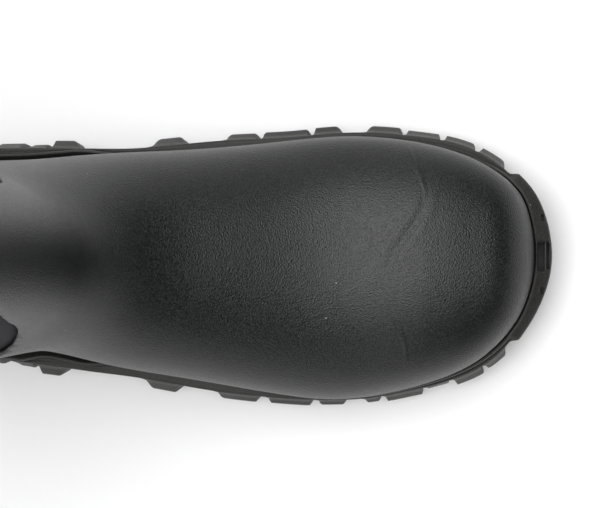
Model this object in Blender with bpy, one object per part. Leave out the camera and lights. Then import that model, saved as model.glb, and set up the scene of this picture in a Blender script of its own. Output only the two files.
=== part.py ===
"""A right rubber boot: lugged cup outsole, insole, neoprene bootie and moulded rubber upper.

Metres, +Z up, +X towards the toe, +Y towards the medial (inner) side of the foot.
The origin lies on the floor under the middle of the heel.
"""

import bmesh
import bpy
import numpy as np

# The last, measured on the outside of the rubber upper
LAST_LENGTH = 0.3086  # heel to toe along the feather line, where upper and sole meet
BALL_WIDTH = 0.105  # across the ball along the feather line
HEEL_SEAT = 0.037  # from the back of the feather line to the middle of the heel
HEEL_HEIGHT = 0.030  # footbed above the floor at the heel
INSTEP_HEIGHT = 0.092  # top of the instep above the footbed
TOE_ROUNDING = 0.036  # length over which the toe box falls to the feather line
HEEL_ROUNDING = 0.040
SIDE_BULGE = 0.003  # how far the widest line of the forefoot overhangs the feather line
WIDEST_LINE = 0.30  # height of that line, as a share of the section's height
END_FULLNESS = 2.4  # roundness of toe and heel seen from the side: 2 is an ellipse
FORM_SCALE = 0.4  # share of the ball width that turns a section's size into a distance

# The shaft
SHAFT_HEIGHT = 0.290  # collar above the floor
SHAFT_DEPTH = 0.1415  # front to back at the collar
SHAFT_WIDTH = 0.092  # side to side at the collar
SHAFT_FULLNESS = 2.08  # roundness of the shaft seen from above
ANKLE_BLEND = 0.024  # softness of the bend where foot and shaft run together

# Walls and clearances
UPPER_WALL = 0.0022
BOOTIE_WALL = 0.0035
INSOLE_THICKNESS = 0.004
FIT_GAP = 0.0003  # between pieces that lie on each other
INSOLE_GAP = 0.0020  # around the insole's edge
HEM_HEIGHT = 0.014  # folded hem at the bootie's collar
HEM_STEP = 0.0009  # how far the hem stands proud of the bootie

# The outsole, its offsets measured outwards from the feather line
LIP_HEIGHT = 0.0060  # raised rim around the upper
LIP_THICKNESS = 0.0016
LIP_GAP = 0.0013  # between the rim's top and the upper
LIP_ROUNDING = 0.0007
LIP_FLARE = 0.0002  # how far the rim's foot stands out from its edge
BAND_REACH = 0.0054  # smooth band that stands out below the rim
BAND_STEP = 0.0022  # height of the band above the footbed
BAND_WIDTH = 0.0010  # least width of the band outside the rim
BAND_ROUNDING = 0.0008
LUG_REACH = 0.0024  # how far a side lug stands out from the band
LUG_SHOULDER = 0.0035  # where a side lug starts to stand out, below the footbed
LUG_INSET = 0.020  # how far a side lug's foot runs in under the sole
LUG_BEVEL = 0.0012
LUG_DRAFT = 0.0018  # how far a side lug falls back towards the tread
GROOVE_DRAFT = 0.0032  # the same, for the wall between lugs
TREAD_EDGE = 0.0010  # height of the bevel along the tread
TREAD_DEPTH = 0.005
TOE_SPRING = 0.014
WAIST_LIFT = 0.008
HEEL_BEVEL = 0.002
CENTRE_LUG_LENGTH = 0.010  # along the foot
CENTRE_LUG_ROOT = 0.001  # how far a centre lug is sunk into the sole

# Sections of the foot. along: share of the last's length from the back. medial, lateral
# and crest: shares of the ball width. footbed: share of the heel height. ridge: share of
# the instep height. bulge: share of the side bulge. fullness: 2 is an ellipse.
FOOT_COLUMNS = ("along", "medial", "lateral", "footbed", "ridge", "crest", "bulge", "fullness")
FOOT = (
    (0.000, 0.000, 0.000, 1.00, 0.78, 0.00, 0.0, 2.4),
    (0.049, 0.245, 0.245, 1.00, 0.80, 0.00, -0.5, 2.4),
    (0.122, 0.338, 0.335, 1.00, 0.83, 0.00, -0.8, 2.4),
    (0.260, 0.358, 0.345, 1.00, 0.94, 0.00, -0.8, 2.1),
    (0.345, 0.372, 0.386, 0.96, 0.99, 0.01, -0.5, 1.9),
    (0.410, 0.381, 0.432, 0.87, 0.98, 0.02, 0.1, 2.0),
    (0.545, 0.377, 0.486, 0.72, 0.84, 0.04, 0.9, 2.2),
    (0.690, 0.413, 0.554, 0.60, 0.66, 0.06, 1.0, 2.3),
    (0.770, 0.421, 0.549, 0.63, 0.59, 0.06, 1.0, 2.5),
    (0.862, 0.392, 0.488, 0.77, 0.53, 0.05, 0.8, 2.6),
    (0.931, 0.332, 0.396, 0.92, 0.45, 0.03, 0.5, 2.6),
    (0.972, 0.256, 0.278, 1.03, 0.43, 0.01, 0.2, 2.6),
    (0.990, 0.168, 0.172, 1.06, 0.42, 0.00, 0.1, 2.6),
    (1.000, -0.015, 0.015, 1.08, 0.42, 0.00, 0.0, 2.6),
)

# Sections of the shaft. height: share of the shaft height. front and back: shares of the
# shaft depth, from the middle of the heel. half: share of the shaft width. lean: the same,
# towards the medial side.
SHAFT_COLUMNS = ("height", "front", "back", "half", "lean")
SHAFT = (
    (0.138, 0.551, 0.170, 0.290, -0.010),
    (0.276, 0.680, 0.195, 0.355, -0.030),
    (0.379, 0.745, 0.185, 0.418, -0.058),
    (0.483, 0.757, 0.172, 0.414, -0.050),
    (0.586, 0.750, 0.172, 0.416, -0.034),
    (0.724, 0.746, 0.190, 0.440, -0.025),
    (0.862, 0.753, 0.215, 0.472, -0.020),
    (1.000, 0.763, 0.237, 0.500, -0.020),
)

# The cuts that the upper is lofted through. They fan out from the toe, round the heel and
# up the back. way: 0 at the toe, 1 at the back of the heel, 2 at the collar. tilt: degrees
# of the cut above the floor. centre: distance in from its foot, as a share of the last.
FAN_COLUMNS = ("way", "tilt", "centre")
FAN = (
    (0.00, 13.0, 0.030),
    (0.04, 45.0, 0.060),
    (0.14, 63.0, 0.085),
    (0.34, 76.0, 0.095),
    (0.48, 68.0, 0.115),
    (0.62, 54.0, 0.170),
    (0.78, 42.0, 0.220),
    (1.00, 35.5, 0.250),
    (1.25, 28.0, 0.240),
    (1.50, 18.0, 0.225),
    (1.75, 8.0, 0.225),
    (2.00, 0.0, 0.235),
)
FAN_START = 0.930  # where the first cut meets the feather line, as a share of the last
FOOT_CUTS = 24
SHAFT_CUTS = 9
CUT_POINTS = 25  # points on each cut

# The upper's top edge seen from the side, from its front tongue to the heel's. forward:
# share of the shaft depth from the middle of the heel. height: share of the shaft height.
TOP_EDGE = (
    (0.735, 0.805),
    (0.712, 0.793),
    (0.697, 0.765),
    (0.682, 0.724),
    (0.653, 0.650),
    (0.627, 0.575),
    (0.585, 0.515),
    (0.519, 0.458),
    (0.400, 0.405),
    (0.280, 0.390),
    (0.120, 0.390),
    (0.000, 0.412),
    (-0.080, 0.465),
    (-0.120, 0.540),
    (-0.140, 0.620),
    (-0.150, 0.690),
    (-0.166, 0.722),
)
TOP_EDGE_SLANT = 0.11  # how far the edge lies back on the medial side, per unit of width
TOP_EDGE_STEPS = 2

# Side lugs, each from its start to its end, as shares of the way from the toe's tip to the
# heel's back along either side. reach: share of the lug reach. The first lies under the toe
# bumper.
LUG_COLUMNS = (
    ("medial start", "medial end", "medial reach"),
    ("lateral start", "lateral end", "lateral reach"),
)
SIDE_LUGS = (
    (0.030, 0.090, 1.0, 0.030, 0.092, 1.0),
    (0.108, 0.144, 1.1, 0.109, 0.140, 1.0),
    (0.149, 0.186, 1.1, 0.144, 0.179, 1.3),
    (0.191, 0.232, 1.1, 0.184, 0.213, 0.7),
    (0.237, 0.281, 1.4, 0.217, 0.263, 1.25),
    (0.306, 0.342, 1.5, 0.268, 0.289, 1.0),
    (0.347, 0.405, 1.4, 0.306, 0.341, 1.1),
    (0.411, 0.454, 1.3, 0.348, 0.401, 1.3),
    (0.503, 0.547, 1.7, 0.411, 0.465, 1.4),
    (0.632, 0.666, 1.6, 0.508, 0.554, 1.9),
    (0.671, 0.696, 0.9, 0.646, 0.682, 2.0),
    (0.704, 0.741, 1.2, 0.688, 0.718, 1.1),
    (0.746, 0.790, 1.3, 0.732, 0.782, 1.2),
    (0.795, 0.842, 1.2, 0.790, 0.840, 1.2),
    (0.850, 0.904, 1.2, 0.848, 0.904, 1.2),
)
TOE_LUG_END = 0.018
LONG_STEP = 0.042  # a lug or gap longer than this gets a point at its middle
HEEL_STEPS = 7
TOE_STEPS = 4
HEEL_LUG_START = 0.913
BUMPER = (0.092, 0.102)  # the smooth toe bumper runs out between these shares
WAIST_START = (0.275, 0.315)  # the tread lifts off the floor, as shares of the last
WAIST_END = (0.400, 0.440)
TOE_SPRING_START = 0.775
HEEL_BEVEL_END = 0.035

# Centre lugs. along: share of the last. span: length across, as a share of the ball width.
# sweep: how far its ends lie behind its middle, in lug lengths.
CENTRE_LUGS = (
    (0.090, 0.300, 0.0),
    (0.122, 0.340, 0.0),
    (0.170, 0.330, -0.6),
    (0.218, 0.330, -0.6),
    (0.470, 0.320, 0.8),
    (0.525, 0.350, 0.8),
    (0.580, 0.390, 0.8),
    (0.635, 0.430, 0.8),
    (0.690, 0.430, 0.8),
    (0.745, 0.420, 0.8),
)

# The band's reach. along: share of the last. medial, lateral: shares of the band's reach.
BAND_COLUMNS = ("along", "medial", "lateral")
BAND = (
    (0.00, 1.10, 1.10),
    (0.15, 1.30, 1.45),
    (0.30, 1.35, 2.05),
    (0.42, 0.95, 1.40),
    (0.55, 1.60, 1.60),
    (0.66, 1.40, 1.17),
    (0.76, 1.40, 0.80),
    (0.84, 1.35, 0.88),
    (0.90, 1.28, 0.92),
    (0.95, 0.82, 0.78),
    (0.98, 0.62, 0.62),
    (1.00, 0.86, 0.86),
)

# Colours: linear base colour and roughness
RUBBER = ((0.026, 0.027, 0.027), 0.52)
OUTSOLE_RUBBER = ((0.022, 0.022, 0.021), 0.58)
NEOPRENE = ((0.020, 0.020, 0.024), 0.85)
INSOLE_FOAM = ((0.035, 0.036, 0.040), 0.90)


def cubic_through(places, values, closed=False):
    """Second slopes of the smooth cubic curve through the values, one row each."""
    places = np.asarray(places, float)
    values = np.asarray(values, float).reshape(len(places), -1)
    count = len(places)
    steps = np.diff(places)
    slopes = np.diff(values, axis=0) / steps[:, None]
    matrix = np.eye(count)
    right = np.zeros_like(values)
    for i in range(1, count - 1):
        matrix[i, i - 1 : i + 2] = steps[i - 1], 2 * (steps[i - 1] + steps[i]), steps[i]
        right[i] = 6 * (slopes[i] - slopes[i - 1])
    if closed:
        matrix[0, [0, 1, -2]] = 2 * (steps[0] + steps[-1]), steps[0], steps[-1]
        right[0] = 6 * (slopes[0] - slopes[-1])
        matrix[-1, [0, -1]] = -1, 1
    return np.linalg.solve(matrix, right)


def curve(places, values, closed=False):
    """A function that reads the smooth cubic curve through the values."""
    places = np.asarray(places, float)
    values = np.asarray(values, float).reshape(len(places), -1)
    seconds = cubic_through(places, values, closed)

    def read(at):
        at = np.clip(np.asarray(at, float), places[0], places[-1])
        i = np.clip(np.searchsorted(places, at) - 1, 0, len(places) - 2)
        step = (places[i + 1] - places[i])[..., None]
        b = (at[..., None] - places[i][..., None]) / step
        a = 1 - b
        bend = (a**3 - a) * seconds[i] + (b**3 - b) * seconds[i + 1]
        found = a * values[i] + b * values[i + 1] + bend * step**2 / 6
        return found[..., 0] if found.shape[-1] == 1 else found

    return read


def table(columns, rows):
    """The columns of a table after its first, each as a smooth function of the first."""
    numbers = np.array(rows, float)
    return {c: curve(numbers[:, 0], numbers[:, i]) for i, c in enumerate(columns) if i}


foot = table(FOOT_COLUMNS, FOOT)
shaft = table(SHAFT_COLUMNS, SHAFT)
band_shape = table(BAND_COLUMNS, BAND)


def along(x):
    """Share of the last's length at x."""
    return np.clip((np.asarray(x) + HEEL_SEAT) / LAST_LENGTH, 0, 1)


def footbed(x):
    return HEEL_HEIGHT * foot["footbed"](along(x))


# The feather line, where the upper meets the sole


def feather_sides():
    """Dense points of the feather line's medial and lateral side, each from toe to heel."""
    rows = np.array(FOOT)[::-1]
    x = rows[:, 0] * LAST_LENGTH - HEEL_SEAT
    medial = np.column_stack([x, rows[:, 1] * BALL_WIDTH])
    lateral = np.column_stack([x, -rows[:, 2] * BALL_WIDTH])
    loop = np.vstack([medial, lateral[-2:0:-1], medial[:1]])
    chords = np.linalg.norm(np.diff(loop, axis=0), axis=1)
    places = np.concatenate([[0], np.cumsum(np.sqrt(chords))])
    read = curve(places, loop, closed=True)
    heel = places[len(rows) - 1]
    to_heel = np.linspace(0, heel, 400)
    to_toe = np.linspace(heel, places[-1], 400)
    return read(to_heel), read(to_toe)[::-1]


MEDIAL_EDGE, LATERAL_EDGE = feather_sides()


def side_point(edge, share, outward):
    """Points at a share of the way from toe to heel along one side, and their normals."""
    lengths = np.linalg.norm(np.diff(edge, axis=0), axis=1)
    way = np.concatenate([[0], np.cumsum(lengths)])
    at = np.asarray(share) * way[-1]
    tangents = np.gradient(edge, axis=0)
    point = np.column_stack([np.interp(at, way, edge[:, i]) for i in (0, 1)])
    run = np.column_stack([np.interp(at, way, tangents[:, i]) for i in (0, 1)])
    run /= np.linalg.norm(run, axis=1)[:, None]
    return point, outward * np.column_stack([run[:, 1], -run[:, 0]])


def half_width(edge, x):
    """Distance of one side of the feather line from the middle plane at x."""
    return np.interp(x, edge[::-1, 0], edge[::-1, 1])


# The form of foot and shaft, as a signed distance: below zero inside


def ends(share):
    """Falls from 1 to 0 over the rounding of the toe and of the heel."""
    toe = np.clip((share - 1) * LAST_LENGTH / TOE_ROUNDING + 1, 0, 1)
    heel = np.clip(1 - share * LAST_LENGTH / HEEL_ROUNDING, 0, 1)
    return (1 - np.maximum(toe, heel) ** END_FULLNESS) ** (1 / END_FULLNESS)


def foot_form(x, y, z):
    share = along(x)
    medial = half_width(MEDIAL_EDGE, x)
    lateral = -half_width(LATERAL_EDGE, x)
    height = np.maximum(INSTEP_HEIGHT * foot["ridge"](share) * ends(share), 1e-4)
    above = z - footbed(x)
    widest = WIDEST_LINE * height
    up = np.clip((above - widest) / (height - widest), 0, None)
    below = np.clip((widest - above) / widest, 0, 1)
    bulge = SIDE_BULGE * foot["bulge"](share) * (1 - below**2)
    half = np.maximum((medial + lateral) / 2 + bulge, 1e-4)
    middle = (medial - lateral) / 2 + BALL_WIDTH * foot["crest"](share) * np.minimum(up, 1)
    fullness = foot["fullness"](share)
    spread = np.abs(y - middle) / half
    size = (spread**fullness + up**fullness) ** (1 / fullness)
    past_end = np.abs(x + HEEL_SEAT - LAST_LENGTH / 2) - LAST_LENGTH / 2
    inside = (size - 1) * BALL_WIDTH * FORM_SCALE
    return np.where(past_end > 0, np.abs(inside) + past_end, inside)


def shaft_form(x, y, z):
    height = z / SHAFT_HEIGHT
    front = SHAFT_DEPTH * shaft["front"](height)
    back = SHAFT_DEPTH * shaft["back"](height)
    middle = (front - back) / 2
    half = SHAFT_WIDTH * shaft["half"](height)
    lean = SHAFT_WIDTH * shaft["lean"](height)
    deep = np.abs(x - middle) / (front - middle)
    wide = np.abs(y - lean) / half
    size = (deep**SHAFT_FULLNESS + wide**SHAFT_FULLNESS) ** (1 / SHAFT_FULLNESS)
    return (size - 1) * half


def form(points):
    """Signed distance, near enough, from the outside of the upper."""
    x, y, z = np.moveaxis(points, -1, 0)
    first = foot_form(x, y, z)
    second = shaft_form(x, y, z)
    near = np.clip(1 - np.abs(first - second) / ANKLE_BLEND, 0, 1)
    return np.minimum(first, second) - near**2 * ANKLE_BLEND / 4


def outward(points):
    """Unit normals of the form."""
    step = 2e-4
    axes = np.eye(3) * step
    slope = np.stack([form(points + a) - form(points - a) for a in axes], axis=-1)
    return slope / np.linalg.norm(slope, axis=-1, keepdims=True)


# The cuts through the form


def cut_foot(way):
    """Where the cut starts: on the footbed up to way 1, then up the back."""
    toe_x = FAN_START * LAST_LENGTH - HEEL_SEAT
    x = toe_x + (-HEEL_SEAT - toe_x) * min(way, 1)
    if way <= 1:
        return np.array([x, 0, footbed(x)])
    low = float(footbed(-HEEL_SEAT))
    z = low + (SHAFT_HEIGHT - low) * (way - 1)
    return np.array([-SHAFT_DEPTH * float(shaft["back"](z / SHAFT_HEIGHT)), 0, z])


def march(centre, rays):
    """Where each ray from the centre leaves the form."""
    near = np.zeros(len(rays))
    far = np.full(len(rays), LAST_LENGTH)
    for _ in range(40):
        middle = (near + far) / 2
        inside = form(centre + rays * middle[:, None]) < 0
        near = np.where(inside, middle, near)
        far = np.where(inside, far, middle)
    return centre + rays * near[:, None]


def even(points, count):
    """The polyline with that many points, evenly spaced."""
    way = np.concatenate([[0], np.cumsum(np.linalg.norm(np.diff(points, axis=0), axis=1))])
    at = np.linspace(0, way[-1], count)
    return np.column_stack([np.interp(at, way, points[:, i]) for i in range(3)])


def cut(way, count):
    """One cut from its medial foot over the ridge to its lateral foot."""
    fan = np.array(FAN)
    tilt = np.radians(np.interp(way, fan[:, 0], fan[:, 1]))
    inward = np.interp(way, fan[:, 0], fan[:, 2]) * LAST_LENGTH
    lean = SHAFT_WIDTH * float(shaft["lean"](0.5)) * np.clip(way, 0, 1)
    up = np.array([np.cos(tilt), 0, np.sin(tilt)])
    start = cut_foot(way)
    centre = start + up * inward
    feet = []
    if way < 1:
        widths = [half_width(edge, start[0]) for edge in (MEDIAL_EDGE, LATERAL_EDGE)]
        centre[1] = sum(widths) / 2
        feet = [np.array([start[0], w, start[2]]) for w in widths]
        turns = [np.arctan2(w - centre[1], -inward) for w in widths]
    else:
        centre[1] = lean
        turns = [np.pi, -np.pi]
    angles = np.linspace(turns[0], turns[1], 8 * count)
    rays = np.cos(angles)[:, None] * up + np.sin(angles)[:, None] * np.array([0, 1, 0])
    points = march(centre, rays)
    if feet:
        points[0], points[-1] = feet
    return even(points, count)


def ways():
    """The places of the cuts, closer together round the toe, with two at the hem's step."""
    hem = 2 - HEM_HEIGHT / (SHAFT_HEIGHT - HEEL_HEIGHT)
    step = HEM_STEP / 2 / SHAFT_HEIGHT
    even_steps = np.linspace(0, 1, FOOT_CUTS)
    toe_to_heel = (even_steps + (1 - np.cos(np.pi * even_steps)) / 2) / 2
    up_back = np.linspace(1, hem - step, SHAFT_CUTS)[1:]
    return np.concatenate([toe_to_heel, up_back, [hem + step, 2]])


WAYS = ways()
CUTS = np.array([cut(way, CUT_POINTS) for way in WAYS])
NORMALS = outward(CUTS)
NORMALS[WAYS <= 1, 0, 2] = 0
NORMALS[WAYS <= 1, -1, 2] = 0
NORMALS[0, :, 2] = 0
NORMALS[-1, :, 2] = 0
NORMALS /= np.linalg.norm(NORMALS, axis=-1, keepdims=True)


def skin(depth):
    """The form's grid of points moved inwards by a depth, which may differ from cut to cut."""
    points = CUTS - NORMALS * np.broadcast_to(depth, len(WAYS))[:, None, None]
    on_footbed = np.zeros(points.shape[:2], bool)
    on_footbed[0] = True
    on_footbed[WAYS <= 1, 0] = True
    on_footbed[WAYS <= 1, -1] = True
    x = points[..., 0]
    points[..., 2] = np.where(on_footbed, footbed(x) + FIT_GAP, points[..., 2])
    seam = (points[WAYS >= 1, 0] + points[WAYS >= 1, -1]) / 2
    points[WAYS >= 1, 0] = seam
    points[WAYS >= 1, -1] = seam
    return points


# Making objects


def clear_scene():
    for thing in list(bpy.data.objects):
        bpy.data.objects.remove(thing)


def collection(name):
    made = bpy.data.collections.new(name)
    bpy.context.scene.collection.children.link(made)
    return made


def material(name, look):
    colour, roughness = look
    made = bpy.data.materials.new(name)
    made.use_nodes = True
    shader = made.node_tree.nodes["Principled BSDF"]
    shader.inputs["Base Color"].default_value = (*colour, 1)
    shader.inputs["Roughness"].default_value = roughness
    shader.inputs["Metallic"].default_value = 0
    return made


def mesh_object(name, points, faces, home, look=None):
    """An object of triangles from points and faces, with points at one place made one."""
    mesh = bpy.data.meshes.new(name)
    mesh.from_pydata([tuple(p) for p in points], [], [tuple(map(int, f)) for f in faces])
    work = bmesh.new()
    work.from_mesh(mesh)
    bmesh.ops.remove_doubles(work, verts=work.verts, dist=1e-6)
    bmesh.ops.triangulate(work, faces=work.faces)
    bmesh.ops.recalc_face_normals(work, faces=work.faces)
    work.to_mesh(mesh)
    work.free()
    mesh.shade_smooth()
    mesh.set_sharp_from_angle(angle=np.radians(35))
    made = bpy.data.objects.new(name, mesh)
    home.objects.link(made)
    if look:
        mesh.materials.append(material(name + "_finish", look))
    return made


def cutter_object(name, points, faces, home):
    made = mesh_object(name, points, faces, home)
    made.hide_render = True
    made.display_type = "WIRE"
    return made


def boolean(target, other, operation):
    modifier = target.modifiers.new(other.name, "BOOLEAN")
    modifier.object = other
    modifier.operation = operation


def grid_faces(points):
    """Triangles of a grid of points, each square split along its shorter diagonal."""
    rows, columns = points.shape[:2]
    number = np.arange(rows * columns).reshape(rows, columns)
    a, b, c, d = number[:-1, :-1], number[:-1, 1:], number[1:, 1:], number[1:, :-1]
    flat = points.reshape(-1, 3)
    first = np.linalg.norm(flat[a] - flat[c], axis=-1)
    second = np.linalg.norm(flat[b] - flat[d], axis=-1)
    across = (first < second)[..., None]
    one = np.where(across, np.stack([a, b, c], -1), np.stack([a, b, d], -1))
    two = np.where(across, np.stack([a, c, d], -1), np.stack([b, c, d], -1))
    return np.concatenate([one.reshape(-1, 3), two.reshape(-1, 3)])


def rim_edges(points, faces):
    """Edges that only one face has, seeing points at one place as one."""
    _, same = np.unique(np.round(points, 7), axis=0, return_inverse=True)
    same = same.ravel()
    used = {}
    for face in faces:
        for a, b in zip(face, np.roll(face, -1)):
            key = frozenset((same[a], same[b]))
            used.setdefault(key, []).append((a, b))
    return [pairs[0] for key, pairs in used.items() if len(pairs) == 1 and len(key) == 2]


def walled(name, outer, inner, home, look):
    """A closed solid between two skins of the same grid."""
    skin_points = outer.reshape(-1, 3)
    faces = grid_faces(CUTS)
    other = len(skin_points)
    rim = [(b, a, a + other, b + other) for a, b in rim_edges(skin_points, faces)]
    inside = faces[:, ::-1] + other
    points = np.vstack([skin_points, inner.reshape(-1, 3)])
    return mesh_object(name, points, [*faces, *inside, *rim], home, look)


def prism(name, outline, low, high, axis, home, slant=0.0):
    """A cutter: a flat outline pushed through from low to high along one axis."""
    count = len(outline)
    sheets = []
    for level in (low, high):
        shifted = np.asarray(outline, float) - (slant * level, 0)
        sheets.append(np.insert(shifted, axis, level, axis=1))
    faces = [(i, (i + 1) % count, (i + 1) % count + count, i + count) for i in range(count)]
    faces.append(tuple(range(count)))
    faces.append(tuple(range(count, 2 * count)))
    return cutter_object(name, np.vstack(sheets), faces, home)


# The upper and the bootie


def top_edge():
    """The upper's top edge seen from the side, in metres, front to back."""
    rows = np.array(TOP_EDGE) * (SHAFT_DEPTH, SHAFT_HEIGHT)
    read = curve(np.arange(len(rows)), rows)
    return read(np.linspace(0, len(rows) - 1, TOP_EDGE_STEPS * (len(rows) - 1) + 1))


def make_upper(home, cutters):
    """The moulded rubber upper: a shin tongue in front, low sides and a heel tongue."""
    outer = skin(0)
    upper = walled("rubber_upper", outer, skin(UPPER_WALL), home, RUBBER)
    edge = top_edge()
    past = SHAFT_HEIGHT * 0.1
    top = SHAFT_HEIGHT + past
    front = (edge[0, 0] + SHAFT_DEPTH, edge[0, 1])
    back = (edge[-1, 0] - SHAFT_DEPTH, edge[-1, 1])
    outline = [front, *map(tuple, edge), back, (back[0], top), (front[0], top)]
    side = SHAFT_WIDTH
    above = prism("above_top_edge", outline, -side, side, 1, cutters, TOP_EDGE_SLANT)
    boolean(upper, above, "DIFFERENCE")
    return upper


def make_bootie(home):
    """The neoprene bootie inside the upper, up to the collar, with a folded hem."""
    hem = WAYS > 2 - HEM_HEIGHT / (SHAFT_HEIGHT - HEEL_HEIGHT)
    outside = UPPER_WALL + FIT_GAP
    outer = skin(np.where(hem, outside - HEM_STEP, outside))
    return walled("neoprene_bootie", outer, skin(outside + BOOTIE_WALL), home, NEOPRENE)


# The sole


def smooth_step(value, low, high):
    share = np.clip((value - low) / (high - low), 0, 1)
    return share * share * (3 - 2 * share)


def ground(share):
    """Height of the tread above the floor: flat under heel and ball."""
    waist = smooth_step(share, *WAIST_START) * (1 - smooth_step(share, *WAIST_END))
    toe = np.clip((share - TOE_SPRING_START) / (1 - TOE_SPRING_START), 0, 1) ** 2
    heel = np.clip(1 - share / HEEL_BEVEL_END, 0, 1)
    return WAIST_LIFT * waist + TOE_SPRING * toe + HEEL_BEVEL * heel


def lug_stations(lugs, edge):
    """Shares along a side with a ring point, whether a lug stands there, and its reach."""
    bevel = LUG_BEVEL / np.linalg.norm(np.diff(edge, axis=0), axis=1).sum()
    rows = [(0, 1, 1), (TOE_LUG_END - bevel, 1, 1), (TOE_LUG_END, 0, 0)]
    last = TOE_LUG_END
    for start, end, reach in lugs:
        if start - last > LONG_STEP:
            rows.append(((last + start) / 2, 0, 0))
        inner = TOE_STEPS if start < BUMPER[0] else int((end - start) / LONG_STEP) + 1
        rows += [(start, 0, 0), (start + bevel, 1, reach)]
        rows += [(w, 1, reach) for w in np.linspace(start, end, inner + 1)[1:-1]]
        rows += [(end - bevel, 1, reach), (end, 0, 0)]
        last = end
    rows += [(HEEL_LUG_START, 0, 0), (HEEL_LUG_START + bevel, 1, 1)]
    rows += [(w, 1, 1) for w in np.linspace(HEEL_LUG_START + bevel, 1, HEEL_STEPS)[1:]]
    return np.array(rows)


def ring(medial, lateral):
    """Values along the medial side, and back to the toe along the lateral side."""
    return np.concatenate([medial, lateral[-2:0:-1]])


def ring_base(medial_shares, lateral_shares):
    """The feather line as one ring, medial side then lateral, with its normals."""
    medial, medial_out = side_point(MEDIAL_EDGE, medial_shares, 1)
    lateral, lateral_out = side_point(LATERAL_EDGE, lateral_shares, -1)
    return ring(medial, lateral), ring(medial_out, lateral_out)


def ladder(count, start, flip):
    """Faces that close a ring across, from its medial points to its lateral ones."""
    half = count // 2
    rungs = [(i, (count - i) % count) for i in range(half + 1)]
    faces = []
    for (a, b), (c, d) in zip(rungs, rungs[1:]):
        face = [n + start for n in dict.fromkeys((a, c, d, b))]
        faces.append(tuple(face[::-1] if flip else face))
    return faces


def ring_faces(count, start):
    after = np.roll(np.arange(count), -1)
    return [(start + i, start + j, start + j + count, start + i + count) for i, j in enumerate(after)]


def ringed(name, rings, home, look):
    """A closed solid lofted through rings of the same count, its ends closed across."""
    count = len(rings[0])
    faces = ladder(count, 0, True)
    for level in range(len(rings) - 1):
        faces += ring_faces(count, level * count)
    faces += ladder(count, (len(rings) - 1) * count, False)
    return mesh_object(name, np.vstack(rings), faces, home, look)


def overhang(point, out, height):
    """How far the form reaches out past points of the feather line at a height."""
    inside = LUG_INSET
    start = np.column_stack([point - out * inside, height])
    rays = np.column_stack([out, np.zeros(len(out))])
    return np.linalg.norm(march(start, rays) - start, axis=1) - inside


def make_insole(home):
    """The insole, inside the bootie's wall."""
    inset = UPPER_WALL + FIT_GAP + BOOTIE_WALL + INSOLE_GAP
    shares = np.linspace(0, 1, 27)
    point, out = ring_base(shares, shares)
    bed = footbed(point[:, 0]) + FIT_GAP
    rings = []
    for height in (bed + INSOLE_THICKNESS, bed):
        reach = np.minimum(overhang(point, out, bed + INSOLE_THICKNESS), 0) - inset
        plan = point + out * reach[:, None]
        rings.append(np.column_stack([plan, height]))
    return ringed("insole", rings, home, INSOLE_FOAM)


def sole_rings():
    """Rings of the outsole, from the footbed over the rim and band, down to the tread."""
    lugs = np.array(SIDE_LUGS)
    medial = lug_stations(lugs[:, :3], MEDIAL_EDGE)
    lateral = lug_stations(lugs[:, 3:], LATERAL_EDGE)
    point, out = ring_base(medial[:, 0], lateral[:, 0])
    way, lug, reach = ring(medial, lateral).T
    share = along(point[:, 0])
    top = footbed(point[:, 0])
    rim = top + LIP_HEIGHT
    lip = np.maximum(overhang(point, out, rim), 0) + LIP_GAP
    on_medial = np.arange(len(way)) < len(medial)
    wide = np.where(on_medial, band_shape["medial"](share), band_shape["lateral"](share))
    bumper = 1 - smooth_step(way, *BUMPER)
    band = np.maximum(BAND_REACH * wide + LUG_REACH * bumper, lip + LIP_THICKNESS + BAND_WIDTH)
    stand = LUG_REACH * reach * (1 - bumper)
    groove = ground(share) + TREAD_DEPTH
    tread = groove - TREAD_DEPTH * lug
    gap = GROOVE_DRAFT * (1 - lug)
    draft = LUG_DRAFT * lug
    level = np.ones(len(lug))
    profile = (
        (FIT_GAP * level, top),
        (lip, rim - LIP_ROUNDING),
        (lip + LIP_THICKNESS / 2, rim),
        (lip + LIP_THICKNESS, rim - LIP_ROUNDING),
        (lip + LIP_THICKNESS + LIP_FLARE, top + BAND_STEP * 0.6),
        (band - BAND_ROUNDING, top + BAND_STEP),
        (band, top + BAND_STEP / 2),
        (band - 0.3 * gap * (1 - bumper) + 0.3 * stand, top - LUG_SHOULDER),
        (band - 0.6 * gap + stand, (top + groove) / 2),
        (band - 0.8 * gap - 0.7 * draft + stand, tread + TREAD_EDGE),
        (band - gap - draft + stand, tread),
        (-LUG_INSET * level, tread),
        (-(LUG_INSET + LUG_BEVEL) * level, groove),
    )
    return [np.column_stack([point + out * away[:, None], z]) for away, z in profile]


def make_centre_lug(index, row, home):
    """A bar across the middle of the tread, bent back at its ends."""
    share, span, sweep = row
    middle = share * LAST_LENGTH - HEEL_SEAT
    y = (half_width(MEDIAL_EDGE, middle) + half_width(LATERAL_EDGE, middle)) / 2
    half = span * BALL_WIDTH / 2
    back = sweep * CENTRE_LUG_LENGTH
    length = CENTRE_LUG_LENGTH / 2
    outline = [
        (middle + length, y),
        (middle + length - back, y + half),
        (middle - length - back, y + half),
        (middle - length, y),
        (middle - length - back, y - half),
        (middle + length - back, y - half),
    ]
    floors = ground(along(np.array(outline)[:, 0])) + TREAD_DEPTH
    top = float(floors.max()) + CENTRE_LUG_ROOT
    return prism(f"centre_lug_{index}", outline, float(ground(share)), top, 2, home)


def make_outsole(home, cutters):
    sole = ringed("outsole", sole_rings(), home, OUTSOLE_RUBBER)
    for index, row in enumerate(CENTRE_LUGS):
        boolean(sole, make_centre_lug(index, row, cutters), "UNION")
    return sole


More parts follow.
